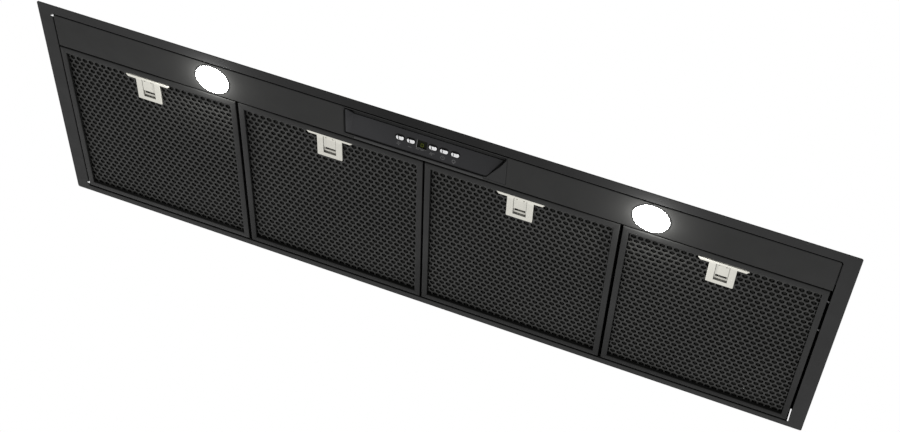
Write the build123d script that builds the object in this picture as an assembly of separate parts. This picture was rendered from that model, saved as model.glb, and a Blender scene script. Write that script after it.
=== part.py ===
# Range hood insert: flush power pack with four latched mesh filters, two lamps, a
# push-button module, a twin centrifugal blower and a rectangular outlet with a
# back-draught damper. Millimetres. X to the user's right, Y to the rear, Z up.
# The origin is the centre of the flange's upper face, which seats on the cabinet.
from build123d import *
import math
import os

os.makedirs("parts", exist_ok=True)

# ---- driving dimensions -------------------------------------------------------
W, D = 860.0, 290.0            # flange outline
T = 1.0                        # sheet thickness
OPX, OPF, OPR = 414.2, -133.0, 137.0   # flange opening: half width, front, rear
UPSTAND = 14.0                 # fold that stands up round the opening
CX = 416.2                     # casing half width
CF, CR = -135.0, 139.0         # casing front and rear
Z_TROUGH = 58.0                # top of the low casing
Z_TOP = 128.0                  # top of the raised blower section
BLX = 190.0                    # raised section half width

FOLD_R = 0.8                   # outer radius of the folded edges
OPEN_R = 2.5                   # front corners of the flange opening

PANEL_F, PANEL_R = -131.8, -88.9       # front panel strip
PANEL_X = 413.2

FILTERS = [-311.2, -104.0, 102.2, 309.5]
LATCH_DY = [1.5, -0.9, -0.2, 1.6]       # the latches don't all sit equally far back
FW = 102.1                     # filter half width
FF, FR = -86.9, 134.6          # filter front and rear
FZ0, FZ1 = -1.0, 6.4           # filter frame lower and upper face
BAR_S, BAR_F, BAR_R = 6.3, 7.3, 6.6    # visible width of the frame's bars
MESH_Z = 2.4                   # lower face of the perforated sheet
HEX_PITCH, HEX_ROW, HOLE_R = 7.3, 6.4, 2.95

LATCH_TRAVEL = 5.0
BUTTON_TRAVEL = 1.2

LAMP_X, LAMP_Y = 232.7, -110.5
LENS_R = 17.2
LENS_DOME = 2.0                # the frosted lens bulges down by this much

TILT = 18.0                    # the control face leans towards the user
FACE_Y, FACE_Z = -107.0, 3.574
BUTTON_PITCH = 11.75
FACE_U = 0.5                   # middle of the six places in the button row
BUTTON_L, BUTTON_H, BUTTON_C = 8.8, 5.4, 2.5   # oval cap: length, height, corner radius

DUCT_X, DUCT_F, DUCT_R = 127.0, 50.5, 131.5   # outside of the outlet collar
DUCT_TOP = 154.0

BLOW_Y, BLOW_Z = 72.0, 68.0    # blower axis
IMP_R = 44.0
MOTOR_R = 34.0
SHAFT_R = 4.0

BRACKET_Y, BRACKET_HOLE_X, BRACKET_PITCH_Y, BRACKET_HOLE_R = 2.0, 423.6, 56.0, 2.3


# ---- helpers ------------------------------------------------------------------
def bx(x0, x1, y0, y1, z0, z1):
    return Pos((x0 + x1) / 2, (y0 + y1) / 2, (z0 + z1) / 2) * Box(x1 - x0, y1 - y0, z1 - z0)


def cz(x, y, z0, z1, r):
    return Pos(x, y, (z0 + z1) / 2) * Cylinder(r, z1 - z0)


def cx_(x0, x1, y, z, r):
    return Pos((x0 + x1) / 2, y, z) * (Rot(0, 90, 0) * Cylinder(r, x1 - x0))


def cy_(x, y0, y1, z, r):
    return Pos(x, (y0 + y1) / 2, z) * (Rot(90, 0, 0) * Cylinder(r, y1 - y0))


def ring_z(x, y, z0, z1, ri, ro):
    return cz(x, y, z0, z1, ro) - cz(x, y, z0 - 1, z1 + 1, ri)


def ring_x(x0, x1, y, z, ri, ro):
    return cx_(x0, x1, y, z, ro) - cx_(x0 - 1, x1 + 1, y, z, ri)


def poly_z(pts, z0, z1):
    """A plan outline raised from z0 to z1."""
    face = make_face(Plane.XY.offset(z0) * Polyline(*pts, close=True))
    return extrude(face, amount=z1 - z0, dir=(0, 0, 1))


def poly_x(pts, x0, x1):
    """An outline in Y and Z drawn out from x0 to x1."""
    face = make_face(Polyline(*[(x0, y, z) for y, z in pts], close=True))
    return extrude(face, amount=x1 - x0, dir=(1, 0, 0))


def save(shape, node):
    if isinstance(shape, (list, ShapeList)):
        shape = Compound(children=list(shape))
    export_step(shape, "parts/" + node + ".step")
    print(node, round(sum(s.volume for s in shape.solids())), len(shape.solids()))


# ---- flange and casing --------------------------------------------------------
def opening(grow, z0, z1):
    """The plan of the flange opening, grown outwards, from z0 to z1; its two front corners are rounded."""
    block = bx(-OPX - grow, OPX + grow, OPF - grow, OPR + grow, z0, z1)
    return fillet(block.edges().filter_by(Axis.Z).sort_by(Axis.Y)[:2], OPEN_R + grow)


flange = bx(-W / 2, W / 2, -D / 2, D / 2, -T, 0)
flange = fillet(flange.edges().filter_by(Axis.Z), 2.0)
flange -= opening(0, -T - 1, 1)
upstand = opening(T, 0, UPSTAND) - opening(0, -1, UPSTAND + 1)
# the fold is trimmed under the sloping front of the casing
upstand -= bx(-OPX - 2, OPX + 2, OPF - 2, OPF + 3.51, 4.6, UPSTAND + 1)
upstand -= poly_x([(-136, 4.2), (-136, 20), (-112, 20), (-134, 4.2)], -OPX - 2, OPX + 2)
flange += upstand
# a hem outside the fold carries the casing's walls clear of the seating face
HEM = 3.0
flange += bx(-CX, CX, CF, CR, 0, HEM) - opening(T, -1, HEM + 1)
flange = fillet(flange.faces().sort_by(Axis.Z)[0].inner_wires()[0].edges(), FOLD_R)
flange = fillet(flange.faces().sort_by(Axis.Z)[0].outer_wire().edges(), 0.3)

slope = (Z_TROUGH - 6.0) / (-74.0 - CF)
ang = math.atan(slope)
casing = poly_x([(CF, HEM), (CF, 6), (-74, Z_TROUGH), (CR, Z_TROUGH), (CR, HEM)], -CX, CX)
z_in = 6 + slope * T - T / math.cos(ang)
y_in = CF + (Z_TROUGH - T - 6 + T / math.cos(ang)) / slope
casing -= poly_x([(CF + T, -1), (CF + T, z_in), (y_in, Z_TROUGH - T), (CR - T, Z_TROUGH - T), (CR - T, -1)], -CX + T, CX - T)
casing -= bx(-BLX + 6, BLX - 6, -64, CR - 6, Z_TROUGH - 3, Z_TROUGH + 3)

slope2 = (Z_TOP - 59.5) / (8.0 + 72.0)
ang2 = math.atan(slope2)
blower_box = poly_x([(-72, Z_TROUGH), (-72, 59.5), (8, Z_TOP), (CR, Z_TOP), (CR, Z_TROUGH)], -BLX, BLX)
v2 = T / math.cos(ang2)
y_a = -72 + T
z_a = 59.5 + slope2 * T - v2
y_b = -72 + (Z_TOP - T - 59.5 + v2) / slope2
blower_box -= poly_x([(y_a, Z_TROUGH - 1), (y_a, z_a), (y_b, Z_TOP - T), (CR - T, Z_TOP - T), (CR - T, Z_TROUGH - 1)], -BLX + T, BLX - T)
# foot folds along the two sides
for s in (-1, 1):
    a, b = sorted((s * (BLX - 0.5), s * (BLX + 13)))
    blower_box += bx(a, b, -60, CR - 2, Z_TROUGH, Z_TROUGH + T)
blower_box -= bx(-DUCT_X + 1, DUCT_X - 1, DUCT_F + 1, DUCT_R - 1, Z_TOP - 3, Z_TOP + 3)

# open corners of the folded sheet: a tall slit at the rear right and small reliefs at the left,
# through which daylight shows
flange -= bx(413.0, 415.25, 136.9, 140.0, 0.0, 17.5)
casing -= bx(413.0, 415.2, 137.5, 140.0, 0.0, 17.5)
for y0, y1, y2 in ((-131.3, -128.8, -125.6), (130.8, 133.4, 137.6)):
    flange -= bx(-416.6, -414.0, y0, y1, -2.0, 4.5)
    flange -= bx(-416.6, -414.0, y0, y2, 0.0, 3.4)
    casing -= bx(-417.0, -415.0, y0 + 0.6, y2, -1.0, 3.4)

# ---- outlet collar and damper -------------------------------------------------
COL_T = 1.0
collar = bx(-140, 140, 42, 138, Z_TOP, Z_TOP + 1.2)
collar += bx(-DUCT_X, DUCT_X, DUCT_F, DUCT_R, Z_TOP, DUCT_TOP)
collar -= bx(-DUCT_X + COL_T, DUCT_X - COL_T, DUCT_F + COL_T, DUCT_R - COL_T, Z_TOP - 1, DUCT_TOP + 1)
for y0, y1 in ((DUCT_F + 0.5, DUCT_F + 4), (DUCT_R - 4, DUCT_R - 0.5)):
    collar += bx(-DUCT_X + 0.5, DUCT_X - 0.5, y0, y1, 134.0, 135.0)
DUCT_MID, PIN_OFF, PIN_Z = (DUCT_F + DUCT_R) / 2, 4.0, 138.6
flap_pin = []
for s in (-1, 1):
    y = DUCT_MID + s * PIN_OFF
    collar -= cx_(-DUCT_X - 1, DUCT_X + 1, y, PIN_Z, 1.55)
    flap_pin.append(cx_(-DUCT_X + 0.1, DUCT_X - 0.1, y, PIN_Z, 1.5))

KN_R, KN_BORE = 2.3, 1.56
KNUCKLES = [(-118, -80), (-38, 38), (80, 118)]


def flap(sign):
    """One half of the damper; sign -1 is the front half. The plate lies under its pin and hangs from rolled knuckles."""
    pin_y = DUCT_MID + sign * PIN_OFF
    far = DUCT_MID + sign * (DUCT_MID - DUCT_F - COL_T - 0.6)
    near = DUCT_MID + sign * 0.4
    y0, y1 = sorted((far, near))
    plate = bx(-DUCT_X + COL_T + 0.8, DUCT_X - COL_T - 0.8, y0, y1, 135.6, 136.4)
    for a, b in KNUCKLES:
        plate += cx_(a, b, pin_y, PIN_Z, KN_R)
    # a stiffening bead along the plate
    y0, y1 = sorted((pin_y + sign * 18, pin_y + sign * 21))
    plate += bx(-105, 105, y0, y1, 136.0, 137.4)
    for a, b in KNUCKLES:
        plate -= cx_(a - 1, b + 1, pin_y, PIN_Z, KN_BORE)
    return plate


flap_front = flap(-1)
flap_rear = flap(1)

# ---- blower -------------------------------------------------------------------
CUT_Y = DUCT_F + COL_T
R0, R1 = 48.0, DUCT_R - COL_T - BLOW_Y
cut_ang = math.degrees(math.acos((CUT_Y - BLOW_Y) / R0))


def spiral(shrink):
    pts = []
    for k in range(0, 25):
        a = cut_ang + (360 - cut_ang) * k / 24
        r = R0 + (R1 - R0) * k / 24 - shrink
        pts.append((BLOW_Y + r * math.cos(math.radians(a)), BLOW_Z + r * math.sin(math.radians(a))))
    return pts


def scroll(x0, x1, inlet_side):
    t = 0.8
    outer = spiral(0.0)
    inner = spiral(t)
    shell = poly_x([(CUT_Y, Z_TOP - T), *outer, (BLOW_Y + R1, Z_TOP - T)], x0, x1)
    shell -= poly_x([(CUT_Y + t, Z_TOP + 1), (CUT_Y + t, inner[0][1]), *inner[1:], (BLOW_Y + R1 - t, Z_TOP + 1)], x0 + t, x1 - t)
    if inlet_side < 0:
        shell -= cx_(x0 - 1, x0 + 2, BLOW_Y, BLOW_Z, 35)
        shell += ring_x(x0, x0 + 3, BLOW_Y, BLOW_Z, 33.8, 35.2)
        shell -= cx_(x1 - 2, x1 + 1, BLOW_Y, BLOW_Z, 12)
    else:
        shell -= cx_(x1 - 2, x1 + 1, BLOW_Y, BLOW_Z, 35)
        shell += ring_x(x1 - 3, x1, BLOW_Y, BLOW_Z, 33.8, 35.2)
        shell -= cx_(x0 - 1, x0 + 2, BLOW_Y, BLOW_Z, 12)
    return shell


scroll_left = scroll(-124, -36, -1)
scroll_right = scroll(36, 124, 1)


def impeller(sign):
    """A squirrel-cage wheel: back plate and hub at the motor's side, end ring at the inlet."""
    a, b = sorted((sign * 43, sign * 44.2))
    wheel = cx_(a, b, BLOW_Y, BLOW_Z, IMP_R)
    a, b = sorted((sign * 43, sign * 54))
    wheel += cx_(a, b, BLOW_Y, BLOW_Z, 9)
    a, b = sorted((sign * 115, sign * 117))
    wheel += ring_x(a, b, BLOW_Y, BLOW_Z, 37.5, IMP_R)
    a, b = sorted((sign * 43.6, sign * 116))
    blade = Pos((a + b) / 2, 0, 40.8) * (Rot(28, 0, 0) * Box(b - a, 0.8, 6.6))
    wheel += [Pos(0, BLOW_Y, BLOW_Z) * (Rot(k * 360 / 30, 0, 0) * blade) for k in range(30)]
    wheel -= cx_(-130, 130, BLOW_Y, BLOW_Z, SHAFT_R)
    return wheel


impeller_left = impeller(-1)
impeller_right = impeller(1)

motor = cx_(-26, 26, BLOW_Y, BLOW_Z, MOTOR_R)
motor += cx_(-30, 30, BLOW_Y, BLOW_Z, 29)
motor += cx_(-33, 33, BLOW_Y, BLOW_Z, 11)
motor -= cx_(-40, 40, BLOW_Y, BLOW_Z, SHAFT_R + 0.06)
motor_shaft = cx_(-58, 58, BLOW_Y, BLOW_Z, SHAFT_R)

cradle = None
for x in (-20, 20):
    strap = ring_x(x - 2.5, x + 2.5, BLOW_Y, BLOW_Z, MOTOR_R, MOTOR_R + 2.0)
    leg = bx(x - 2.5, x + 2.5, BLOW_Y - 11, BLOW_Y + 11, BLOW_Z + MOTOR_R + 0.8, Z_TOP - T)
    leg -= cx_(x - 5, x + 5, BLOW_Y, BLOW_Z, MOTOR_R + 0.5)
    cradle = strap + leg if cradle is None else cradle + strap + leg
cradle += bx(-22, 22, BLOW_Y - 11, BLOW_Y + 11, Z_TOP - T - 2, Z_TOP - T)

capacitor = cz(-160, 92, 80, Z_TOP - T, 15)
capacitor = fillet(capacitor.edges().sort_by(Axis.Z)[0], 2.0)
capacitor += bx(-163.5, -162.7, 89, 95, 74, 81) + bx(-157.3, -156.5, 89, 95, 74, 81)

# ---- supply side --------------------------------------------------------------
JX0, JX1, JY0, JY1, JZ0, JZ1 = 235.0, 335.0, -4.0, 66.0, Z_TROUGH, 92.0
junction_box = bx(JX0, JX1, JY0, JY1, JZ0, JZ1)
junction_box = fillet(junction_box.edges().filter_by(Axis.Z), 4.0)
junction_box -= bx(JX0 + 2, JX1 - 2, JY0 + 2, JY1 - 2, JZ0 + 2, JZ1 + 1)
for x in (JX0 + 6, JX1 - 6):
    for y in (JY0 + 6, JY1 - 6):
        junction_box += cz(x, y, JZ0 + 1, JZ1, 3.6)
GL_Y, GL_Z = 31.0, 75.0
junction_box -= cx_(JX1 - 3, JX1 + 1, GL_Y, GL_Z, 8.0)
junction_lid = bx(JX0 - 1, JX1 + 1, JY0 - 1, JY1 + 1, JZ1, JZ1 + 2.5)
junction_lid = fillet(junction_lid.edges().filter_by(Axis.Z), 5.0)
junction_lid = chamfer(junction_lid.faces().sort_by(Axis.Z)[-1].edges(), 0.8)
power_board = bx(JX0 + 12, JX1 - 14, JY0 + 8, JY1 - 8, JZ0 + 6, JZ0 + 7.6)
for x in (JX0 + 18, JX1 - 20):
    for y in (JY0 + 14, JY1 - 14):
        power_board += cz(x, y, JZ0 + 2, JZ0 + 6, 2.5)
power_board += bx(JX0 + 24, JX0 + 48, JY0 + 20, JY0 + 44, JZ0 + 7.6, JZ0 + 25)
power_board += bx(JX1 - 34, JX1 - 22, JY0 + 14, JY0 + 54, JZ0 + 7.6, JZ0 + 18)
for k in range(3):
    power_board += bx(JX0 + 53, JX0 + 61, JY0 + 12 + 15 * k, JY0 + 23 + 15 * k, JZ0 + 7.6, JZ0 + 19)
gland = cx_(JX1 - 6, JX1 + 14, GL_Y, GL_Z, 7.9)
gland += Pos(JX1 + 2.0, GL_Y, GL_Z) * (Rot(0, 90, 0) * extrude(RegularPolygon(11, 6), amount=4.0))
gland += Pos(JX1 + 10.5, GL_Y, GL_Z) * (Rot(0, 90, 0) * extrude(RegularPolygon(10, 6), amount=7.0))
gland += Pos(JX1 - 6.0, GL_Y, GL_Z) * (Rot(0, 90, 0) * extrude(RegularPolygon(10.5, 6), amount=4.0))
gland += cx_(JX1, JX1 + 3, GL_Y, GL_Z, 10.0)
GLAND_R = 5.0
gland -= cx_(JX1 - 10, JX1 + 25, GL_Y, GL_Z, GLAND_R)

# ---- side brackets ------------------------------------------------------------
def bracket(sign):
    x0, x1 = sorted((sign * CX, sign * (CX + 1.5)))
    part = bx(x0, x1, BRACKET_Y - 42, BRACKET_Y + 42, 19, 50)
    x0, x1 = sorted((sign * CX, sign * 429.8))
    foot = bx(x0, x1, BRACKET_Y - 42, BRACKET_Y + 42, 18, 19.5)
    part += foot
    for y in (-1, 1):
        part -= cz(sign * BRACKET_HOLE_X, BRACKET_Y + y * BRACKET_PITCH_Y / 2, 10, 25, BRACKET_HOLE_R)
    for y in (-37, 37):
        tri = extrude(
            make_face(
                Polyline(
                    (sign * (CX + 1), BRACKET_Y + y - 0.6, 19.2),
                    (sign * (CX + 8), BRACKET_Y + y - 0.6, 19.2),
                    (sign * (CX + 1), BRACKET_Y + y - 0.6, 32.0),
                    close=True,
                )
            ),
            amount=1.2,
            dir=(0, 1, 0),
        )
        part += tri
    return part


bracket_left = bracket(-1)
bracket_right = bracket(1)

# ---- fixing screws: pan heads with short shanks, and their holes -----------------
SC_R, SC_HOLE = 1.7, 1.75
screws = []
holes_casing, holes_box, holes_collar, holes_left, holes_right, holes_lid = [], [], [], [], [], []
for s in (-1, 1):
    for y in (-44, 10, 64, 118):
        x = s * (BLX + 7.5)
        screws.append(cz(x, y, Z_TROUGH + T, Z_TROUGH + T + 2.2, 3.4) + cz(x, y, Z_TROUGH - 6, Z_TROUGH + T + 1, SC_R))
        holes_casing.append(cz(x, y, Z_TROUGH - 8, Z_TROUGH + 8, SC_HOLE))
        holes_box.append(holes_casing[-1])
    for y in (-22, 26):
        z = 41.0
        a, b = sorted((s * (CX + 1.5), s * (CX + 3.7)))
        c, d = sorted((s * (CX - 6), s * (CX + 2)))
        screws.append(cx_(a, b, y, z, 3.4) + cx_(c, d, y, z, SC_R))
        hole = cx_(*sorted((s * (CX - 8), s * (CX + 8))), y, z, SC_HOLE)
        holes_casing.append(hole)
        (holes_left if s < 0 else holes_right).append(hole)
for x in (-120, 0, 120):
    for y in (46.0,):
        screws.append(cz(x, y, Z_TOP + 1.2, Z_TOP + 3.4, 3.2) + cz(x, y, Z_TOP - 5, Z_TOP + 2, SC_R))
        hole = cz(x, y, Z_TOP - 8, Z_TOP + 8, SC_HOLE)
        holes_box.append(hole)
        holes_collar.append(hole)
for x in (-133.5, 133.5):
    for y in (66, 116):
        screws.append(cz(x, y, Z_TOP + 1.2, Z_TOP + 3.4, 3.2) + cz(x, y, Z_TOP - 5, Z_TOP + 2, SC_R))
        hole = cz(x, y, Z_TOP - 8, Z_TOP + 8, SC_HOLE)
        holes_box.append(hole)
        holes_collar.append(hole)
for x in (JX0 + 6, JX1 - 6):
    for y in (JY0 + 6, JY1 - 6):
        screws.append(cz(x, y, JZ1 + 2.5, JZ1 + 4.3, 2.8) + cz(x, y, JZ1 - 8, JZ1 + 3, 1.4))
        hole = cz(x, y, JZ1 - 12, JZ1 + 6, 1.45)
        holes_lid.append(hole)
casing -= holes_casing
blower_box -= holes_box
collar -= holes_collar
bracket_left -= holes_left
bracket_right -= holes_right
junction_box -= holes_lid
junction_lid -= holes_lid

# ---- front panel --------------------------------------------------------------
BZ_X0, BZ_X1, BZ_F, BZ_R = -87.2, 85.3, -131.7, -92.3
panel = bx(-PANEL_X, PANEL_X, PANEL_F, PANEL_R, -T, 0)
panel = fillet(panel.edges().filter_by(Axis.Z).sort_by(Axis.Y)[:2], 2.0)
panel = fillet(panel.faces().sort_by(Axis.Z)[0].edges(), FOLD_R)
panel += bx(-PANEL_X, PANEL_X, PANEL_R - T, PANEL_R, FOLD_R - T, 16)
for a, b in ((-PANEL_X + 2.2, BZ_X0 - 1.5), (BZ_X1 + 1.5, PANEL_X - 2.2)):
    panel += bx(a, b, PANEL_F, PANEL_F + T, FOLD_R - T, 4.0)
for s in (-1, 1):
    a, b = sorted((s * (PANEL_X - T), s * PANEL_X))
    panel += bx(a, b, PANEL_F + 2.2, PANEL_R - 0.5, FOLD_R - T, 4.0)
    a, b = sorted((s * (PANEL_X - T), s * OPX))
    panel += bx(a, b, -125, -95, 2.8, 4.0)
panel -= bx(BZ_X0 - 0.3, BZ_X1 + 0.3, PANEL_F - 1, BZ_R + 0.3, -2, 1)
for s in (-1, 1):
    panel -= cz(s * LAMP_X, LAMP_Y, -2, 2, LENS_R + 0.8)
for c in FILTERS:
    panel -= bx(c - 5.6, c + 5.6, PANEL_R - 3, PANEL_R + 1, 2.3, 4.7)

rear_ledge = bx(-413, 413, 135.4, OPR, 3.0, 4.0) + bx(-413, 413, 136.2, OPR, 0.6, 3.5)

# ---- control module -----------------------------------------------------------
sn, cs = math.sin(math.radians(TILT)), math.cos(math.radians(TILT))
FACE = Plane(origin=(0, FACE_Y, FACE_Z), x_dir=(1, 0, 0), z_dir=(0, -sn, -cs))


def on_face(u, v, w):
    """A place on the tilted face: u to the right, v towards the front, w out towards the user."""
    return Plane(origin=FACE.from_local_coords((u, v, w)), x_dir=(1, 0, 0), z_dir=(0, -sn, -cs))


def face_box(u0, u1, v0, v1, w0, w1):
    return on_face((u0 + u1) / 2, (v0 + v1) / 2, (w0 + w1) / 2) * Box(u1 - u0, v1 - v0, w1 - w0)


def face_cyl(u, v, w0, w1, r):
    return on_face(u, v, (w0 + w1) / 2) * Cylinder(r, w1 - w0)


def face_oval(u, v, w0, w1, length, height, corner):
    return on_face(u, v, w0) * extrude(RectangleRounded(length, height, corner), amount=w1 - w0)


def face_prism(pts, w0, w1):
    face = make_face(Polyline(*[(u, v, 0) for u, v in pts], close=True))
    return on_face(0, 0, w0) * extrude(face, amount=w1 - w0)


BUTTON_U = [FACE_U + 0.35 + k * BUTTON_PITCH for k in (-2.5, -1.5, 0.5, 1.5, 2.5)]
BUTTON_V = 0.4
WIN_U, WIN_V0, WIN_V1, WIN_HW = -5.0, -5.2, 4.0, 5.5

RIM = [(-86.2, -130.6), (84.6, -130.6), (84.6, -127.2), (81.1, -119.7), (76.3, -111.7), (71.6, -104.7), (67.8, -98.7), (65.6, -95.2), (62.5, -93.8), (-86.2, -93.8)]
RIM_OUT = [(-87.0, -131.6), (85.3, -131.6), (85.3, -126.9), (82.0, -119.3), (77.1, -111.2), (72.4, -104.2), (68.6, -98.2), (66.3, -94.4), (62.9, -92.8), (-87.0, -92.8)]
POCKET = [(-130.6, -2.0), (-130.6, 0.6), (-123.0, 8.8), (-119.2, 8.8), (-93.8, 0.55), (-93.8, -2.0)]
SHELL = [(-131.6, -0.9), (-131.6, 1.0), (-123.5, 10.0), (-118.9, 10.0), (-92.8, 1.55), (-92.8, -0.9)]
bezel = bx(BZ_X0, BZ_X1, BZ_F, BZ_R, -T, 0.2)
bezel += poly_z(RIM_OUT, -0.8, 12) & poly_x(SHELL, -90, 90)
bezel -= poly_z(RIM, -3, 14) & poly_x(POCKET, -90, 90)
# slot between the pocket's front wall and the upper edge of the control face
bezel -= poly_z([(-84, -129.5), (83, -129.5), (83, -127.4), (79.6, -120.2), (79.0, -118.9), (-84, -118.9)], 6.0, 12.0)
# rounded bead along the rear of the pocket, lapping over the panel's edge
bead = bx(-76, 62, -94.0, -90.4, -1.9, -T)
bead = fillet(bead.faces().sort_by(Axis.Z)[0].edges(), 0.85)
bezel += bead
bezel -= face_box(BUTTON_U[0] - 5.9, BUTTON_U[1] + 5.9, BUTTON_V - 5.9, BUTTON_V + 5.9, -4, -1.0)
bezel -= face_box(BUTTON_U[2] - 5.9, BUTTON_U[4] + 5.9, BUTTON_V - 5.9, BUTTON_V + 5.9, -4, -1.0)
bezel -= face_box(WIN_U - WIN_HW - 0.45, WIN_U + WIN_HW + 0.45, WIN_V0 - 0.6, WIN_V1 + 0.6, -4, -1.0)

FACE_OUT = [(-80.5, 10.5), (78.9, 10.5), (75.7, 4.94), (71.0, -2.42), (67.2, -8.73), (65.3, -11.2), (63.0, -11.9), (-80.5, -11.9)]
control_face = face_prism(FACE_OUT, -1.19, 0.0)
# the face's left end turns down into a twisted ramp that closes the pocket
ramp_ends = []
for y, z0, z1 in ((-117.0, 6.82, 7.95), (-95.9, -0.03, 1.1)):
    ramp_ends.append(make_face(Polyline((-85.4, y, -0.9), (-80.0, y, z0), (-80.0, y, z1), (-85.4, y, 0.3), close=True)))
control_face += loft(ramp_ends, ruled=True)
for u in BUTTON_U:
    control_face -= face_oval(u, BUTTON_V, -3, 1, BUTTON_L + 0.7, BUTTON_H + 0.7, BUTTON_C + 0.35)
control_face -= face_box(WIN_U - WIN_HW, WIN_U + WIN_HW, WIN_V0, WIN_V1, -3, 1)

display_window = face_box(WIN_U - WIN_HW - 0.3, WIN_U + WIN_HW + 0.3, WIN_V0 - 0.45, WIN_V1 + 0.45, -2.8, -1.8)

board = face_box(-62, 62, -10.0, 8.5, -9.6, -8.0)
for u in BUTTON_U:
    board += face_box(u - 3, u + 3, BUTTON_V - 3, BUTTON_V + 3, -8.2, -6.0)
board += face_box(WIN_U - 5.0, WIN_U + 5.0, WIN_V0 - 0.2, WIN_V1 + 0.2, -8.2, -2.8)
board += face_box(42, 56, -8, 6, -8.2, -4.5)
for u in (-56, 58.5):
    board += face_cyl(u, -4.0, -8.2, -2.5, 2.2)

buttons = []
for u in BUTTON_U:
    cap = face_oval(u, BUTTON_V, -2.3, 1.0, BUTTON_L, BUTTON_H, BUTTON_C)
    cap = fillet(cap.faces().sort_by(lambda f: f.center().Z)[0].edges(), 0.9)
    cap += face_oval(u, BUTTON_V, -2.3, -1.5, BUTTON_L + 1.5, BUTTON_H + 1.5, BUTTON_C + 0.75)
    cap += face_cyl(u, BUTTON_V, -4.5, -2.2, 1.8)
    buttons.append(cap)

# ---- lamps --------------------------------------------------------------------
def lamp(x):
    trim = ring_z(x, LAMP_Y, -1.6, -T, LENS_R + 0.1, LENS_R + 1.5)
    trim = fillet(trim.edges().filter_by(GeomType.CIRCLE).sort_by(Axis.Z)[:2], 0.25)
    trim += ring_z(x, LAMP_Y, -1.3, 7.0, LENS_R + 0.1, LENS_R + 0.7)
    dome_r = (LENS_R**2 + LENS_DOME**2) / (2 * LENS_DOME)
    lens = cz(x, LAMP_Y, -1.1, -0.2, LENS_R)
    lens += Pos(x, LAMP_Y, -1.1 - LENS_DOME + dome_r) * Sphere(dome_r) & cz(x, LAMP_Y, -4.0, -1.05, LENS_R)
    cup = cz(x, LAMP_Y, -0.2, 8.2, LENS_R) - cz(x, LAMP_Y, -1, 6.4, LENS_R - 1.2)
    cup += cz(x, LAMP_Y, 7.0, 8.2, LENS_R + 0.7)
    cup += cz(x, LAMP_Y, 4.8, 6.6, LENS_R - 3)          # board with the light sources
    for s in (-1, 1):
        a, b = sorted((x + s * (LENS_R + 0.7), x + s * (LENS_R + 1.3)))
        cup += bx(a, b, LAMP_Y - 4, LAMP_Y + 4, 0.6, 8.2)
        a, b = sorted((x + s * (LENS_R - 0.5), x + s * (LENS_R + 1.3)))
        cup += bx(a, b, LAMP_Y - 4, LAMP_Y + 4, 7.4, 8.2)
        a, b = sorted((x + s * (LENS_R + 0.7), x + s * (LENS_R + 7)))
        cup += bx(a, b, LAMP_Y - 4, LAMP_Y + 4, 0.0, 0.6)
    return trim, lens, cup


# ---- filters ------------------------------------------------------------------
WIN_X = FW - BAR_S
WIN_F, WIN_R = FF + BAR_F, FR - BAR_R


def filter_frame(c):
    part = bx(c - FW, c + FW, FF, FR, FZ0, FZ1)
    part = fillet(part.faces().sort_by(Axis.Z)[0].edges(), 0.7)
    part -= bx(c - FW + 0.8, c + FW - 0.8, FF + 0.8, FR - 0.8, FZ0 + 0.8, FZ1 - 0.8)
    part -= bx(c - WIN_X, c + WIN_X, WIN_F, WIN_R, FZ0 - 1, FZ1 + 1)
    lip = bx(c - WIN_X - 0.8, c + WIN_X + 0.8, WIN_F - 0.8, WIN_R + 0.8, FZ0 + 0.4, MESH_Z)
    lip -= bx(c - WIN_X, c + WIN_X, WIN_F, WIN_R, FZ0 - 1, FZ1 + 1)
    part += lip
    part -= bx(c - 5.6, c + 5.6, FF - 1, FF + 2, MESH_Z, 4.6)
    for u in (-62, 62):
        part += bx(c + u - 8, c + u + 8, FR - 0.5, FR + 2.0, 4.4, 5.8)
    return part


def filter_mesh(c, dy):
    x0, x1, y0, y1 = c - FW + 1.2, c + FW - 1.2, FF + 1.2, FR - 1.2
    nx, ny = 15.6, -46.3 + dy
    outline = [(x0, y0), (c - nx, y0), (c - nx, ny), (c + nx, ny), (c + nx, y0), (x1, y0), (x1, y1), (x0, y1)]
    wires = []
    rows = int((WIN_R - WIN_F) / HEX_ROW) + 3
    y_mid = (WIN_F + WIN_R) / 2
    for j in range(-rows // 2, rows // 2 + 1):
        y = y_mid + j * HEX_ROW
        if y < WIN_F - 2 or y > WIN_R + 2:
            continue
        for i in range(-15, 16):
            x = i * HEX_PITCH + (HEX_PITCH / 2 if j % 2 else 0)
            if abs(x) > WIN_X + 1.5:
                continue
            if abs(x) < nx + HOLE_R + 0.6 and y < ny + HOLE_R + 0.6:
                continue
            wires.append(Wire.make_circle(HOLE_R, Plane(origin=(c + x, y, MESH_Z))))
    outer = Wire.make_polygon([Vector(x, y, MESH_Z) for x, y in outline], close=True)
    sheet = extrude(Face(outer, wires), amount=0.8, dir=(0, 0, 1))
    pad = poly_z(outline, MESH_Z + 0.8, FZ1 - 1.6)
    guard = poly_z(outline, FZ1 - 1.6, FZ1 - 0.8)
    for i in range(6):
        for j in range(6):
            a = c - 90 + i * 30.4
            b = -40 + j * 28
            guard -= bx(a, a + 28, b, b + 25, FZ1 - 3, FZ1 + 1)
    return sheet, pad, guard


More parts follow.
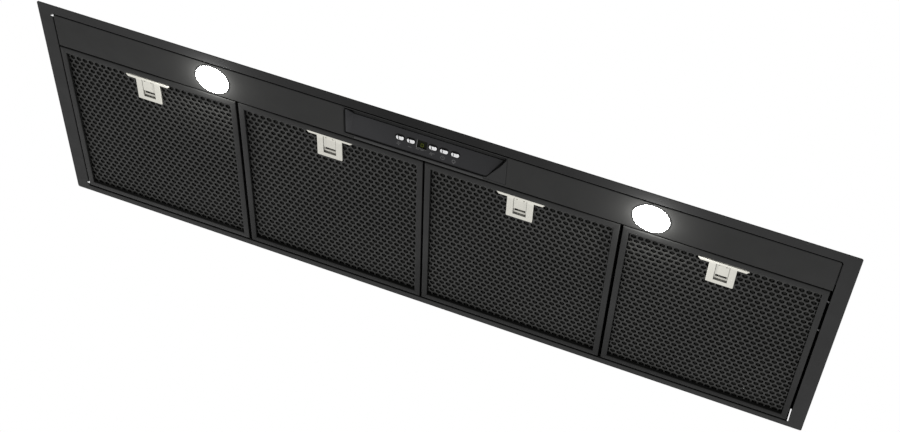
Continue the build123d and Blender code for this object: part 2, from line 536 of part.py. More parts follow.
def latch(c, dy):
    top = max(-79.1, WIN_F + 0.05 - dy)            # clear of the frame's front bar
    outline = [(-25.4, top), (25.4, top), (22.9, -76.1), (13.9, -76.1), (13.9, -47.7), (-13.9, -47.7), (-13.9, -76.1), (-22.9, -76.1)]
    plate = poly_z(outline, FZ0, 0.4)
    plate = fillet(plate.edges().filter_by(Axis.Z).sort_by(Axis.Y)[-2:], 1.0)
    plate = fillet(plate.faces().sort_by(Axis.Z)[0].edges(), 0.4)
    box_ = bx(-12.6, 12.6, -78.4, -48.2, 0.2, 7.0) - bx(-11.4, 11.4, -77.2, -49.0, 0.1, 8.0)
    box_ -= bx(-5.6, 5.6, -80, -76, MESH_Z, 8.0)
    body = plate + box_
    # blocks that the perforated sheet is staked to, and rails that the slider runs on
    for s in (-1, 1):
        a, b = sorted((s * 12.0, s * 22.0))
        body += bx(a, b, top + 0.2, -76.5, 0.2, MESH_Z)
        a, b = sorted((s * 8.3, s * 9.5))
        body += bx(a, b, -76.4, -49.8, 0.2, 2.6)
    # finger pocket; its rear wall is undercut
    body -= poly_x([(-77.0, -3.0), (-77.0, 0.5), (-51.1, 0.5), (-53.1, -1.0), (-53.1, -3.0)], -7.0, 7.0)
    slider = bx(-6.75, 6.75, -76.6, -61.6, -0.7, 3.0)
    slider = fillet(slider.faces().sort_by(Axis.Z)[0].edges(), 0.4)
    for u in (-3.75, 3.75):
        slider -= cz(u, -75.75, -1, 0.2, 0.85)
    slider += bx(-9.8, 9.8, -76.6, -62.0, 2.8, 4.1)
    # two webs carry a grip strip at the back of the pocket
    for s in (-1, 1):
        a, b = sorted((s * 5.7, s * 6.75))
        slider += bx(a, b, -62.5, -54.4, 0.9, 4.1)
    slider += bx(-6.75, 6.75, -56.7, -54.4, 0.9, 1.6)
    slider += bx(-5.0, 5.0, -88.55 - dy, -76.0, 2.8, 4.1)
    slider += bx(-4.0, 4.0, -72.0, -70.0, 4.0, 6.8)
    body, slider = Pos(c, dy, 0) * body, Pos(c, dy, 0) * slider
    # moulded zigzag spring between the slider's lug and the housing's rear wall
    n, y0, y1, hw, th = 7, -70.0 + dy, -49.0 + dy, 3.2, 0.7
    pts = []
    step = (y1 - y0 - th) / n
    bars = []
    for k in range(n + 1):
        yy = y0 + k * step
        bars.append(bx(c - hw, c + hw, yy, yy + th, 4.5, 6.5))
        if k < n:
            s = 1 if k % 2 == 0 else -1
            a, b = sorted((c + s * (hw - th), c + s * hw))
            bars.append(bx(a, b, yy, yy + step + th, 4.5, 6.5))
    spring = bars[0] + bars[1:]
    return body, slider, spring


# ---- write the nodes ----------------------------------------------------------
save(flange, "flange_frame")
save(casing, "casing")
save(blower_box, "blower_box")
save(collar, "duct_collar")
save(flap_pin, "flap_pin")
save(flap_front, "flap_front")
save(flap_rear, "flap_rear")
save(scroll_left, "scroll_left")
save(scroll_right, "scroll_right")
save(impeller_left, "impeller_left")
save(impeller_right, "impeller_right")
save(motor, "motor")
save(motor_shaft, "motor_shaft")
save(cradle, "motor_cradle")
save(capacitor, "capacitor")
save(junction_box, "junction_box")
save(junction_lid, "junction_lid")
save(power_board, "power_board")
save(gland, "cable_gland")
save(bracket_left, "side_bracket_left")
save(bracket_right, "side_bracket_right")
save(screws, "fixing_screws")
save(panel, "front_panel")
save(rear_ledge, "rear_ledge")
save(bezel, "control_bezel")
save(control_face, "control_face")
save(display_window, "display_window")
save(board, "control_board")
for k, b in enumerate(buttons, 1):
    save(b, f"button_{k}")
for side, x in (("left", -LAMP_X), ("right", LAMP_X)):
    trim, lens, cup = lamp(x)
    save(trim, f"lamp_trim_{side}")
    save(lens, f"lamp_lens_{side}")
    save(cup, f"lamp_body_{side}")
for k, (c, dy) in enumerate(zip(FILTERS, LATCH_DY), 1):
    save(filter_frame(c), f"filter_{k}_frame")
    save(list(filter_mesh(c, dy)), f"filter_{k}_mesh")
    body, slider, spring = latch(c, dy)
    save(body, f"filter_{k}_latch_body")
    save(slider, f"filter_{k}_latch_slider")
    save(spring, f"filter_{k}_latch_spring")
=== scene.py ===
import math
import random
import bpy
import bmesh
from mathutils import Matrix, Vector


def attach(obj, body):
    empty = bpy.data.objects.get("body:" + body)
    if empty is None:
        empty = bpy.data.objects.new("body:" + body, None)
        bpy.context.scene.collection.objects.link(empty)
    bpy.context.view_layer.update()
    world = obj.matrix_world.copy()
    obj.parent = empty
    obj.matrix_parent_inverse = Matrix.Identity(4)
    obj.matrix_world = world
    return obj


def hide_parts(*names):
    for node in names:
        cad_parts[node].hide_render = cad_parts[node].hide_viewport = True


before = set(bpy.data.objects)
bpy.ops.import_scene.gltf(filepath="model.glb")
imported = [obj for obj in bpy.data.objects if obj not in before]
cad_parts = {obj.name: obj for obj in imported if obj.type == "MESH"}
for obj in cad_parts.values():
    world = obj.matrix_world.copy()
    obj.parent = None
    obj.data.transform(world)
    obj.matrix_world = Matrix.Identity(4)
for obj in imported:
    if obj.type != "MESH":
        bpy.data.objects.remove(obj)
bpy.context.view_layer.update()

MM = 0.001
scene = bpy.context.scene
coll = scene.collection
random.seed(7)

# ------------------------------------------------------------------ dimensions (mm)
FILTERS = [-311.2, -104.0, 102.2, 309.5]
LATCH_DY = [1.5, -0.9, -0.2, 1.6]
FW, FF, FR = 102.1, -86.9, 134.6
FZ0, FZ1, MESH_Z = -1.0, 6.4, 2.4
BAR_S, BAR_F, BAR_R = 6.3, 7.3, 6.6
WIN_X, WIN_F, WIN_R = FW - BAR_S, FF + BAR_F, FR - BAR_R
HEX_PITCH, HEX_ROW = 7.29, 6.44
LAMP_X, LAMP_Y, LENS_R = 232.7, -110.5, 17.2
TILT = math.radians(18.0)
SN, CS = math.sin(TILT), math.cos(TILT)
FACE_O = Vector((0.0, -107.0, 3.574))
PITCH = 11.75
BUTTON_U = [0.85 + k * PITCH for k in (-2.5, -1.5, 0.5, 1.5, 2.5)]
BUTTON_V = 0.4


def on_face(u, v, w=0.0):
    """Control face coordinates to the row frame, mm: u right, v to the front, w towards the user."""
    return Vector((u, FACE_O.y - v * CS - w * SN, FACE_O.z + v * SN - w * CS))


# ------------------------------------------------------------------ camera
cam_data = bpy.data.cameras.new("camera")
cam_data.sensor_width = 36.0
cam_data.sensor_fit = "HORIZONTAL"
cam_data.lens = 1612.27 * 36.0 / 900.0
cam_data.clip_start = 0.01
cam_data.clip_end = 100.0
cam = bpy.data.objects.new("camera", cam_data)
coll.objects.link(cam)
right = Vector((0.9286, -0.02905, 0.36995))
down = Vector((0.30224, 0.63763, -0.70858))
fwd = Vector((-0.21531, 0.7698, 0.60088))
cam.matrix_world = Matrix((
    (right.x, -down.x, -fwd.x, 0.3842),
    (right.y, -down.y, -fwd.y, -1.2863),
    (right.z, -down.z, -fwd.z, -0.9911),
    (0, 0, 0, 1),
))
scene.camera = cam
scene.view_settings.view_transform = "Standard"
scene.view_settings.look = "None"


# ------------------------------------------------------------------ material helpers
def new_mat(name):
    m = bpy.data.materials.new(name)
    m.use_nodes = True
    nt = m.node_tree
    nt.nodes.clear()
    out = nt.nodes.new("ShaderNodeOutputMaterial")
    b = nt.nodes.new("ShaderNodeBsdfPrincipled")
    nt.links.new(b.outputs[0], out.inputs[0])
    return m, nt, b, out


def noise(nt, scale, detail=2.0, rough=0.5, stretch=(1, 1, 1)):
    tc = nt.nodes.new("ShaderNodeTexCoord")
    mp = nt.nodes.new("ShaderNodeMapping")
    mp.inputs["Scale"].default_value = stretch
    nt.links.new(tc.outputs["Object"], mp.inputs["Vector"])
    n = nt.nodes.new("ShaderNodeTexNoise")
    n.inputs["Scale"].default_value = scale
    n.inputs["Detail"].default_value = detail
    n.inputs["Roughness"].default_value = rough
    nt.links.new(mp.outputs[0], n.inputs["Vector"])
    return n.outputs["Fac"]


def ramp(nt, fac, stops):
    r = nt.nodes.new("ShaderNodeValToRGB")
    el = r.color_ramp.elements
    el[0].position, el[0].color = stops[0][0], (*stops[0][1], 1)
    el[1].position, el[1].color = stops[-1][0], (*stops[-1][1], 1)
    for p, c in stops[1:-1]:
        e = el.new(p)
        e.color = (*c, 1)
    nt.links.new(fac, r.inputs[0])
    return r.outputs[0]


def rng(nt, fac, lo, hi, a=0.35, b=0.65):
    m = nt.nodes.new("ShaderNodeMapRange")
    m.inputs["From Min"].default_value = a
    m.inputs["From Max"].default_value = b
    m.inputs["To Min"].default_value = lo
    m.inputs["To Max"].default_value = hi
    nt.links.new(fac, m.inputs["Value"])
    return m.outputs[0]


def bump(nt, b, height, dist, strength):
    n = nt.nodes.new("ShaderNodeBump")
    n.inputs["Distance"].default_value = dist
    n.inputs["Strength"].default_value = strength
    nt.links.new(height, n.inputs["Height"])
    nt.links.new(n.outputs[0], b.inputs["Normal"])


def math_node(nt, op, a, b=None):
    n = nt.nodes.new("ShaderNodeMath")
    n.operation = op
    for i, v in enumerate((a, b)):
        if v is None:
            continue
        if isinstance(v, (int, float)):
            n.inputs[i].default_value = v
        else:
            nt.links.new(v, n.inputs[i])
    return n.outputs[0]


def seam_shade_mask(nt, z_lo, z_hi, n_lo, n_hi, lim_x, lim_y):
    """0 on the faces that show, 1 on upright walls in the seams, where the painted shade goes. Object space, mm."""
    tc = nt.nodes.new("ShaderNodeTexCoord")
    pos = nt.nodes.new("ShaderNodeSeparateXYZ")
    nrm = nt.nodes.new("ShaderNodeSeparateXYZ")
    nt.links.new(tc.outputs["Object"], pos.inputs[0])
    nt.links.new(tc.outputs["Normal"], nrm.inputs[0])
    fz = rng(nt, pos.outputs["Z"], 0.0, 1.0, z_lo * MM, z_hi * MM)
    fn = rng(nt, math_node(nt, "ABSOLUTE", nrm.outputs["Z"]), 1.0, 0.0, n_lo, n_hi)
    f = math_node(nt, "MULTIPLY", fz, fn)
    for axis, lim in (("X", lim_x), ("Y", lim_y)):
        inside = math_node(nt, "LESS_THAN", math_node(nt, "ABSOLUTE", pos.outputs[axis]), lim * MM)
        f = math_node(nt, "MULTIPLY", f, inside)
    return f


def painted_light_ramp(nt, axis, a, b, lo, hi, magnitude=False, limits=()):
    """Painted light and shade: a factor that goes from lo at a to hi at b (mm) along an axis of the piece, and is 1
    outside the limits.
    """
    tc = nt.nodes.new("ShaderNodeTexCoord")
    pos = nt.nodes.new("ShaderNodeSeparateXYZ")
    nt.links.new(tc.outputs["Object"], pos.inputs[0])
    v = pos.outputs[axis]
    if magnitude:
        v = math_node(nt, "ABSOLUTE", v)
    f = rng(nt, v, lo, hi, a * MM, b * MM)
    for ax, kind, lim in limits:
        inside = math_node(nt, kind, pos.outputs[ax], lim * MM)
        f = math_node(nt, "ADD", 1.0, math_node(nt, "MULTIPLY", math_node(nt, "SUBTRACT", f, 1.0), inside))
    return f


def coated(name, col, rough=0.42, spread=0.12, peel=900.0, depth=0.00004, strength=0.25, metallic=0.0, spec=0.5, walls=None, wall_shade=0.8, painted_light_ramps=(), sides=None):
    """Satin powder coat or grained plastic: slow random tone change, fine peel, uneven gloss; walls paints shade on the
    upright walls in the seams, the ramps paint light and shade along an axis, sides paints shade on faces turned
    sideways.
    """
    m, nt, b, _ = new_mat(name)
    big = noise(nt, 7.0, 3.0, 0.55)
    lo = tuple(c * (1 - spread) for c in col)
    hi = tuple(c * (1 + spread) for c in col)
    colour = ramp(nt, big, [(0.35, lo), (0.65, hi)])
    b.inputs["Specular IOR Level"].default_value = spec
    # painted shade: darken colour and gloss of the upright walls in the seams
    if walls:
        mask = seam_shade_mask(nt, *walls)
        keep = math_node(nt, "SUBTRACT", 1.0, math_node(nt, "MULTIPLY", mask, wall_shade))
    else:
        keep = None
    # painted light and shade ramps along axes of the piece
    for d in painted_light_ramps:
        f = painted_light_ramp(nt, *d)
        keep = f if keep is None else math_node(nt, "MULTIPLY", keep, f)
    # painted shade on faces turned sideways
    if sides is not None:
        tc = nt.nodes.new("ShaderNodeTexCoord")
        nrm = nt.nodes.new("ShaderNodeSeparateXYZ")
        nt.links.new(tc.outputs["Normal"], nrm.inputs[0])
        f = rng(nt, math_node(nt, "ABSOLUTE", nrm.outputs["X"]), 1.0, sides, 0.6, 0.95)
        keep = f if keep is None else math_node(nt, "MULTIPLY", keep, f)
    # scale colour and gloss by the painted light and shade
    if keep is not None:
        sc = nt.nodes.new("ShaderNodeVectorMath")
        sc.operation = "SCALE"
        nt.links.new(colour, sc.inputs[0])
        nt.links.new(keep, sc.inputs["Scale"])
        colour = sc.outputs[0]
        nt.links.new(math_node(nt, "MULTIPLY", keep, spec), b.inputs["Specular IOR Level"])
    nt.links.new(colour, b.inputs["Base Color"])
    fine = noise(nt, peel, 2.0, 0.6)
    nt.links.new(rng(nt, noise(nt, 38.0, 3.0, 0.6), rough - 0.05, rough + 0.05), b.inputs["Roughness"])
    bump(nt, b, fine, depth, strength)
    b.inputs["Metallic"].default_value = metallic
    return m


def sheet_metal(name, col, rough, stretch, spangle=False):
    m, nt, b, _ = new_mat(name)
    b.inputs["Metallic"].default_value = 1.0
    if spangle:
        tc = nt.nodes.new("ShaderNodeTexCoord")
        v = nt.nodes.new("ShaderNodeTexVoronoi")
        v.inputs["Scale"].default_value = 140.0
        nt.links.new(tc.outputs["Object"], v.inputs["Vector"])
        bw = nt.nodes.new("ShaderNodeRGBToBW")
        nt.links.new(v.outputs["Color"], bw.inputs[0])
        fac = bw.outputs[0]
    else:
        fac = noise(nt, 60.0, 3.0, 0.6, stretch)
    lo = tuple(c * 0.86 for c in col)
    hi = tuple(min(1.0, c * 1.1) for c in col)
    nt.links.new(ramp(nt, fac, [(0.3, lo), (0.7, hi)]), b.inputs["Base Color"])
    nt.links.new(rng(nt, fac, rough - 0.06, rough + 0.08), b.inputs["Roughness"])
    bump(nt, b, noise(nt, 220.0, 3.0, 0.6, stretch), 0.00003, 0.2)
    return m


def emit(name, col, strength):
    m, nt, b, out = new_mat(name)
    b.inputs["Base Color"].default_value = (*(c * 0.2 for c in col), 1)
    b.inputs["Roughness"].default_value = 0.35
    b.inputs["Specular IOR Level"].default_value = 0.1
    n = noise(nt, 220.0, 2.0, 0.5)
    lo = tuple(c * 0.97 for c in col)
    nt.links.new(ramp(nt, n, [(0.3, lo), (0.7, col)]), b.inputs["Emission Color"])
    b.inputs["Emission Strength"].default_value = strength
    return m


M = {}
# painted shade on the upright walls in the seams
M["black"] = coated("powder_black", (0.012, 0.012, 0.012), 0.55, spec=0.12, walls=(-0.9, -0.5, 0.5, 0.9, 414.0, 137.0), wall_shade=0.93)
# painted shade on the seam walls, and a painted dark reflection: the front strip darker towards the middle
M["flange"] = coated("powder_black_flange", (0.0165, 0.0165, 0.0165), 0.45, spec=0.2, walls=(-0.9, -0.3, 0.3, 0.85, 428.0, 143.0),
                     painted_light_ramps=(("X", 30.0, 240.0, 0.55, 1.0, True, (("Y", "LESS_THAN", -131.0),)),))
# painted shade on the upright walls in the seams
M["panel"] = coated("powder_black_panel", (0.0155, 0.0155, 0.015), 0.44, spec=0.2, wall_shade=0.7, walls=(-0.9, -0.3, 0.3, 0.85, 500.0, 500.0))
# painted shade on the upright walls of the frame
M["filter"] = coated("powder_black_filter", (0.0152, 0.0152, 0.0148), 0.42, spec=0.22, wall_shade=0.45, walls=(-0.9, -0.1, 0.3, 0.85, 500.0, 500.0))
# painted shade on the frame walls, and painted shade darker towards the rear
M["filter_b"] = coated("powder_black_filter_b", (0.0152, 0.0152, 0.0148), 0.42, spec=0.22, wall_shade=0.45, walls=(-0.9, -0.1, 0.3, 0.85, 500.0, 500.0),
                       painted_light_ramps=(("Y", 40.0, 128.0, 1.0, 0.6),))
M["mesh"] = coated("mesh_black", (0.0285, 0.0285, 0.027), 0.40, peel=1500.0, spec=0.25)
# painted shade: a darker copy of the mesh paint for the inner and back layers
M["mesh_in"] = coated("mesh_inner_shaded", (0.012, 0.012, 0.011), 0.6, peel=1500.0, spec=0.15)
# painted shade: near-black colour for the sheet that stands in for the shade behind the mesh layers
M["mesh_shade_black"] = coated("mesh_shade_black", (0.004, 0.004, 0.004), 0.8, spec=0.1)
# painted shade on the pocket walls, a painted highlight on the lower face of the rear bead below z -1.15, and a painted
# shade line along the left edge
M["bezel"] = coated("bezel_grain", (0.018, 0.018, 0.018), 0.5, peel=1600.0, spec=0.2, walls=(-0.95, -0.7, 0.6, 0.93, 500.0, 500.0), wall_shade=0.62,
                    painted_light_ramps=(("Z", -1.15, -1.02, 1.62, 1.0), ("X", -86.12, -86.02, 0.42, 1.0, False, (("Y", "GREATER_THAN", -127.0), ("Y", "LESS_THAN", -94.4)))))
# painted light: the face is lighter towards its left end
M["face"] = coated("control_face", (0.021, 0.021, 0.0225), 0.45, peel=2200.0, strength=0.15, spec=0.2,
                   painted_light_ramps=(("X", -70.0, -5.0, 1.28, 1.0),))
# painted shade deeper in the latch housing and on faces turned sideways, and a painted highlight on the front of the
# T-bar
M["ivory"] = coated("ivory_plastic", (0.715, 0.70, 0.632), 0.42, spread=0.03, peel=700.0, strength=0.12, spec=0.35,
                    painted_light_ramps=(("Z", 0.8, 2.0, 0.92, 0.68), ("Y", -75.2, -74.0, 1.12, 1.0)), sides=0.3)
M["nylon"] = coated("black_nylon", (0.022, 0.022, 0.023), 0.5, peel=1200.0)
M["motor"] = coated("motor_grey", (0.20, 0.21, 0.22), 0.42)
M["white"] = coated("white_plastic", (0.75, 0.75, 0.73), 0.35, spread=0.03, strength=0.1)
M["galv"] = sheet_metal("galvanised", (0.62, 0.64, 0.66), 0.38, (1, 1, 1), True)
M["steel"] = sheet_metal("plain_steel", (0.58, 0.58, 0.58), 0.28, (1, 14, 1))
M["alu"] = sheet_metal("mill_aluminium", (0.78, 0.78, 0.80), 0.32, (1, 22, 1))
M["trim"] = coated("lamp_trim", (0.80, 0.80, 0.80), 0.3, spread=0.03, strength=0.1)
M["lamp"] = emit("lamp_light", (1.0, 1.0, 0.99), 40.0)
M["print"] = coated("print_grey", (0.105, 0.105, 0.105), 0.5, spread=0.06, spec=0.2)
# painted shade: near-black colour for the ring in the gap round each button
M["gap_shade_ring"] = coated("button_gap_shade_ring", (0.004, 0.004, 0.004), 0.5, spec=0.1)
# painted highlight: pale grey for the lit walls of the display window's opening
M["rim"] = coated("window_rim_highlight", (0.20, 0.20, 0.20), 0.4, spread=0.06, spec=0.3)
M["digit"] = emit("digit_glow", (0.30, 0.36, 0.02), 0.07)
M["segment_off"] = coated("segment_off", (0.012, 0.014, 0.005), 0.5, spec=0.1)


def chrome_mat():
    m, nt, b, _ = new_mat("button_chrome")
    b.inputs["Metallic"].default_value = 1.0
    n = noise(nt, 300.0, 2.0, 0.5)
    nt.links.new(ramp(nt, n, [(0.3, (0.86, 0.86, 0.87)), (0.7, (0.93, 0.93, 0.94))]), b.inputs["Base Color"])
    nt.links.new(rng(nt, n, 0.05, 0.09), b.inputs["Roughness"])
    return m


def window_mat():
    m, nt, b, _ = new_mat("smoked_window")
    n = noise(nt, 60.0, 2.0, 0.5)
    nt.links.new(ramp(nt, n, [(0.3, (0.004, 0.005, 0.003)), (0.7, (0.007, 0.008, 0.004))]), b.inputs["Base Color"])
    nt.links.new(rng(nt, n, 0.22, 0.30), b.inputs["Roughness"])
    b.inputs["Specular IOR Level"].default_value = 0.08
    return m


def board_mat():
    m, nt, b, _ = new_mat("circuit_board")
    n = noise(nt, 400.0, 3.0, 0.6)
    nt.links.new(ramp(nt, n, [(0.42, (0.01, 0.09, 0.03)), (0.58, (0.02, 0.15, 0.05))]), b.inputs["Base Color"])
    nt.links.new(rng(nt, n, 0.25, 0.45), b.inputs["Roughness"])
    return m


M["chrome"] = chrome_mat()
M["window"] = window_mat()
M["board"] = board_mat()

NODE_MAT = {
    "flange_frame": "flange", "casing": "black", "blower_box": "black", "duct_collar": "galv", "flap_pin": "steel",
    "flap_front": "alu", "flap_rear": "alu", "scroll_left": "galv", "scroll_right": "galv", "impeller_left": "nylon",
    "impeller_right": "nylon", "motor": "motor", "motor_shaft": "steel", "motor_cradle": "galv", "capacitor": "white",
    "junction_box": "nylon", "junction_lid": "nylon", "power_board": "board", "cable_gland": "nylon",
    "side_bracket_left": "galv", "side_bracket_right": "galv", "fixing_screws": "steel", "front_panel": "panel",
    "rear_ledge": "black", "control_bezel": "bezel", "control_face": "face", "display_window": "window", "control_board": "board",
}
for k in range(1, 6):
    NODE_MAT[f"button_{k}"] = "chrome"
for s in ("left", "right"):
    NODE_MAT[f"lamp_trim_{s}"] = "trim"
    NODE_MAT[f"lamp_lens_{s}"] = "lamp"
    NODE_MAT[f"lamp_body_{s}"] = "white"
for k in range(1, 5):
    NODE_MAT[f"filter_{k}_frame"] = "filter"
    NODE_MAT[f"filter_{k}_mesh"] = "mesh"
    NODE_MAT[f"filter_{k}_latch_body"] = "ivory"
    NODE_MAT[f"filter_{k}_latch_slider"] = "ivory"
    NODE_MAT[f"filter_{k}_latch_spring"] = "ivory"
for node, key in NODE_MAT.items():
    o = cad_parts.get(node)
    if o is None:
        continue
    if not o.material_slots:
        o.data.materials.append(M[key])
    for s in o.material_slots:
        s.material = M[key]


# ------------------------------------------------------------------ mesh helpers
def obj_from(name, verts, faces, mat, smooth=False, loc=(0, 0, 0)):
    me = bpy.data.meshes.new(name)
    me.from_pydata([tuple(c * MM for c in v) for v in verts], [], faces)
    me.update()
    me.materials.append(M[mat])
    o = bpy.data.objects.new(name, me)
    o.location = Vector(loc) * MM
    coll.objects.link(o)
    if smooth:
        for p in me.polygons:
            p.use_smooth = True
    return o


def clean(o, dist=0.00001, sharp=None):
    bm = bmesh.new()
    bm.from_mesh(o.data)
    bmesh.ops.remove_doubles(bm, verts=bm.verts, dist=dist)
    bmesh.ops.recalc_face_normals(bm, faces=bm.faces)
    bm.to_mesh(o.data)
    bm.free()
    if sharp is not None:
        for p in o.data.polygons:
            p.use_smooth = True
        o.data.set_sharp_from_angle(angle=math.radians(sharp))
    return o


def instance(src, name, loc, mat=None):
    me = src.data if mat is None else src.data.copy()
    o = bpy.data.objects.new(name, me)
    if mat is not None:
        me.materials.clear()
        me.materials.append(M[mat])
    o.location = Vector(loc) * MM
    coll.objects.link(o)
    return o


# ------------------------------------------------------------------ filter mesh sheet
def hex_sheet(name, z0, thick, mat, notch=True, hole=2.95, dx=0.0, dy=0.0, bevel=0.2):
    """Punched hexagonal mesh: each cell is a hexagon ring with a rounded hole, a rolled lower edge and a wall."""
    x0, x1 = -FW + 1.2, FW - 1.2
    y0, y1 = FF + 1.2, FR - 1.2
    nx, ny = 12.8, -46.4
    R1, R2 = HEX_ROW * 2 / 3, HEX_ROW / 3
    outer = []
    cor = [(HEX_PITCH / 2, R2), (0, R1), (-HEX_PITCH / 2, R2), (-HEX_PITCH / 2, -R2), (0, -R1), (HEX_PITCH / 2, -R2)]
    for i in range(6):
        a, b = cor[i], cor[(i + 1) % 6]
        outer.append(a)
        outer.append(((a[0] + b[0]) / 2, (a[1] + b[1]) / 2))
    n = len(outer)

    def hole_pt(p, r_in):
        ang = math.atan2(p[1], p[0])
        # between a circle and a hexagon
        rad = r_in * (1.0 + 0.055 * math.cos(6 * (ang - math.pi / 2)))
        return (rad * math.cos(ang), rad * math.sin(ang) * 1.02)

    verts, faces = [], []
    y_mid = (WIN_F + WIN_R) / 2
    for j in range(-18, 19):
        y = y_mid + j * HEX_ROW + dy
        for i in range(-15, 16):
            x = i * HEX_PITCH + (HEX_PITCH / 2 if j % 2 else 0) + dx
            if x < x0 + HEX_PITCH * 0.45 or x > x1 - HEX_PITCH * 0.45 or y < y0 + 2.6 or y > y1 - 2.6:
                continue
            if notch and abs(x) < nx - 2.2 and y < ny - 2.2:
                continue
            base = len(verts)
            for ring, z in ((0, z0), (1, z0), (2, z0 + bevel), (3, z0 + thick)):
                for p in outer:
                    if ring == 0:
                        q = p
                    elif ring == 1:
                        q = hole_pt(p, hole + bevel)
                    elif ring == 2:
                        q = hole_pt(p, hole)
                    else:
                        q = hole_pt(p, hole - 0.05)
                    px, py = x + q[0], y + q[1]
                    if notch and abs(px) < nx and py < ny:
                        # cells that meet the latch housing are cut along its outline
                        if nx - abs(px) < ny - py:
                            px = math.copysign(nx, px)
                        else:
                            py = ny
                    verts.append((px, py, z))
            for ring in range(3):
                for k in range(n):
                    a = base + ring * n + k
                    b = base + ring * n + (k + 1) % n
                    faces.append((a, b, b + n, a + n))
    return verts, faces


def flat_grid(x0, x1, y0, y1, z, notch):
    """Plain flat sheet with the latch notch, as quads; behind the mesh layers it is painted shade."""
    nx, ny = 12.9, -46.2
    if notch:
        v = [(x0, y0, z), (-nx, y0, z), (-nx, ny, z), (nx, ny, z), (nx, y0, z), (x1, y0, z), (x1, y1, z), (x0, y1, z), (x0, ny, z), (x1, ny, z)]
        f = [(0, 1, 2, 8), (4, 5, 9, 3), (8, 2, 3, 9, 6, 7)]
        return v, f
    return [(x0, y0, z), (x1, y0, z), (x1, y1, z), (x0, y1, z)], [(0, 1, 2, 3)]


v, f = hex_sheet("m", 0.0, 0.85, "mesh")
mesh_src = clean(obj_from("filter_1_mesh_sheet", v, f, "mesh", loc=(FILTERS[0], 0, MESH_Z)), 0.00002, 50)
v, f = hex_sheet("m2", 0.0, 0.5, "mesh_in", hole=2.5, dx=HEX_PITCH / 2, dy=HEX_ROW / 3, bevel=0.15)
mesh_src2 = clean(obj_from("filter_1_mesh_layer", v, f, "mesh_in", loc=(FILTERS[0], 0, MESH_Z + 1.5)), 0.00002, 50)
# painted shade: a near-black sheet behind the mesh layers, where there is only shade inside the hood
v, f = flat_grid(-FW + 1.3, FW - 1.3, FF + 1.3, FR - 1.3, 0.0, True)
shade_sheet_src = obj_from("filter_1_mesh_shade_sheet", v, f, "mesh_shade_black", loc=(FILTERS[0], 0, MESH_Z + 2.3))


def guard():
    """Back guard of the filter: a thin border with a lattice of bars, seen when the filter is down."""
    verts, faces = [], []

    def bar(xa, xb, ya, yb, za, zb, c=0.25):
        b = len(verts)
        pts = [(xa, ya), (xb, ya), (xb, yb), (xa, yb)]
        ins = [(xa + c, ya + c), (xb - c, ya + c), (xb - c, yb - c), (xa + c, yb - c)]
        for p in pts:
            verts.append((*p, za))
        for p in pts:
            verts.append((*p, zb - c))
        for p in ins:
            verts.append((*p, zb))
        for r in (0, 4):
            for k in range(4):
                faces.append((b + r + k, b + r + (k + 1) % 4, b + r + 4 + (k + 1) % 4, b + r + 4 + k))
        faces.append((b + 8, b + 9, b + 10, b + 11))

    z0, z1 = FZ1 - 1.6, FZ1 - 0.85
    for i in range(7):
        x = -92 + i * 30.67
        bar(x - 1.3, x + 1.3, -46 if abs(x) < 20 else FF + 2, FR - 2, z0, z1)
    for j in range(7):
        y = -44 + j * 28.6
        bar(-FW + 2, FW - 2, y - 1.3, y + 1.3, z0, z1 - 0.05)
    return verts, faces


v, f = guard()
guard_src = obj_from("filter_1_guard", v, f, "filter", loc=(FILTERS[0], 0, 0))
v, f = hex_sheet("m3", 0.0, 0.4, "mesh", hole=2.6, bevel=0.15)
v = [(a, b, -c) for a, b, c in v]
back_src = clean(obj_from("filter_1_back_mesh", v, f, "mesh_in", loc=(FILTERS[0], 0, FZ1 - 1.7)), 0.00002, 50)


